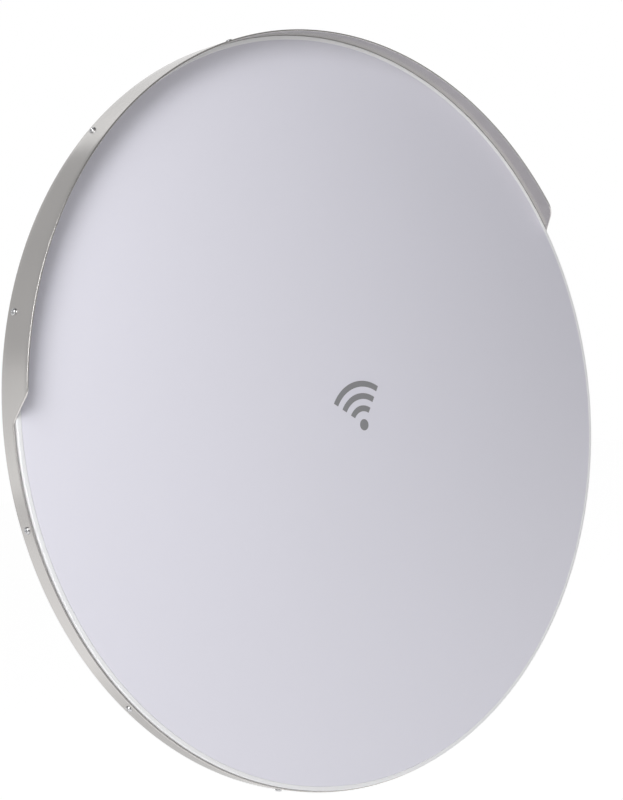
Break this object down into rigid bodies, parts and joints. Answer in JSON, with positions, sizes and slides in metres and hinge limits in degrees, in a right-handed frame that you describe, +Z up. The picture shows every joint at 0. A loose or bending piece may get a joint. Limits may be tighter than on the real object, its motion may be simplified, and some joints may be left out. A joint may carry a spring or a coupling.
{
  "type": "outdoor wireless bridge",
  "caption": "Round outdoor wireless bridge dish with a domed radome, a hooded metal rim band, a centre feed, a rear radio housing and a tilting pole clamp.",
  "frame": {"origin": "centre of the pole clamp, on the pole's axis, halfway up the clamp", "axes": "+Z up along the pole, -Y towards the far end of the link (the radome's face), +X to the right as seen from in front of the pole looking along +Y"},
  "size_m": [0.6534, 0.3855, 0.6534],
  "materials": {
    "radome_plastic": "satin, UV-stable moulded",
    "band_metal": "fine brushed along its length",
    "dish_metal": "light grey powder coat over spun sheet",
    "bracket_steel": "hot-dip galvanised",
    "bolt_zinc": "bright zinc plated",
    "screw_steel": "stainless, turned",
    "spring_steel": "bright",
    "ground_brass": "satin",
    "housing_plastic": "fine moulded grain",
    "grey_plastic": "fine moulded grain",
    "black_plastic": "moulded",
    "red_plastic": "moulded",
    "clear_plastic": "polished, translucent",
    "feed_ptfe": "turned, waxy",
    "board_green": "solder mask",
    "rubber": "matt"
  },
  "bodies": {
    "mast_mount": {"pole_bracket": "bracket_steel", "pivot_bolts": "bolt_zinc", "pivot_nuts": "bolt_zinc", "lock_bolts": "bolt_zinc", "lock_nuts": "bolt_zinc", "friction_washers": "black_plastic", "ear_washers": "bolt_zinc", "clamp_bolts": "bolt_zinc"},
    "dish": {"radome": "radome_plastic", "shroud_band": "band_metal", "rim_gasket": "rubber", "rim_screws": "screw_steel", "reflector": "dish_metal", "backing_plate": "bracket_steel", "hub_bolts": "bolt_zinc", "hub_nuts": "bolt_zinc", "dish_bracket": "bracket_steel", "ground_screw": "ground_brass", "rear_housing": "housing_plastic", "cover_gasket": "rubber", "rear_cover": "housing_plastic", "cover_screws": "screw_steel", "cable_grommet": "rubber", "breather_vent": "grey_plastic", "light_pipe": "clear_plastic", "release_spring": "spring_steel", "feed_latch": "spring_steel", "lock_ring": "grey_plastic", "feed_seal": "rubber", "feed_tube": "housing_plastic", "feed_waveguide": "band_metal", "feed_cone": "feed_ptfe", "sub_reflector": "band_metal", "feed_cap": "housing_plastic", "radio_board": "board_green", "rf_shield": "spring_steel", "board_connector": "black_plastic", "port_board": "board_green", "ethernet_jack": "spring_steel", "reset_switch": "black_plastic"},
    "clamp_jaw": {"clamp_jaw": "bracket_steel", "clamp_washers": "bolt_zinc", "clamp_nuts": "bolt_zinc"},
    "port_cover": {"port_cover": "housing_plastic"},
    "feed_release_button": {"feed_release_button": "grey_plastic"},
    "reset_button": {"reset_button": "red_plastic"}
  },
  "joints": [
    {"name": "elevation_tilt", "type": "hinge", "parent": "mast_mount", "child": "dish", "pos_m": [0, -0.062, -0.018], "axis": [-1, 0, 0], "range_deg": [-20, 20]},
    {"name": "jaw_slide", "type": "slide", "parent": "mast_mount", "child": "clamp_jaw", "axis": [0, 1, 0], "range_m": [-0.006, 0.02]},
    {"name": "port_cover_slide", "type": "slide", "parent": "dish", "child": "port_cover", "axis": [0, 0, -1], "range_m": [0, 0.028]},
    {"name": "feed_release_press", "type": "slide", "parent": "dish", "child": "feed_release_button", "axis": [0, -1, 0], "range_m": [0, 0.003], "stiffness_N_per_m": 800, "deforming": ["release_spring"]},
    {"name": "reset_press", "type": "slide", "parent": "dish", "child": "reset_button", "axis": [0, -1, 0], "range_m": [0, 0.0006], "stiffness_N_per_m": 1500}
  ]
}
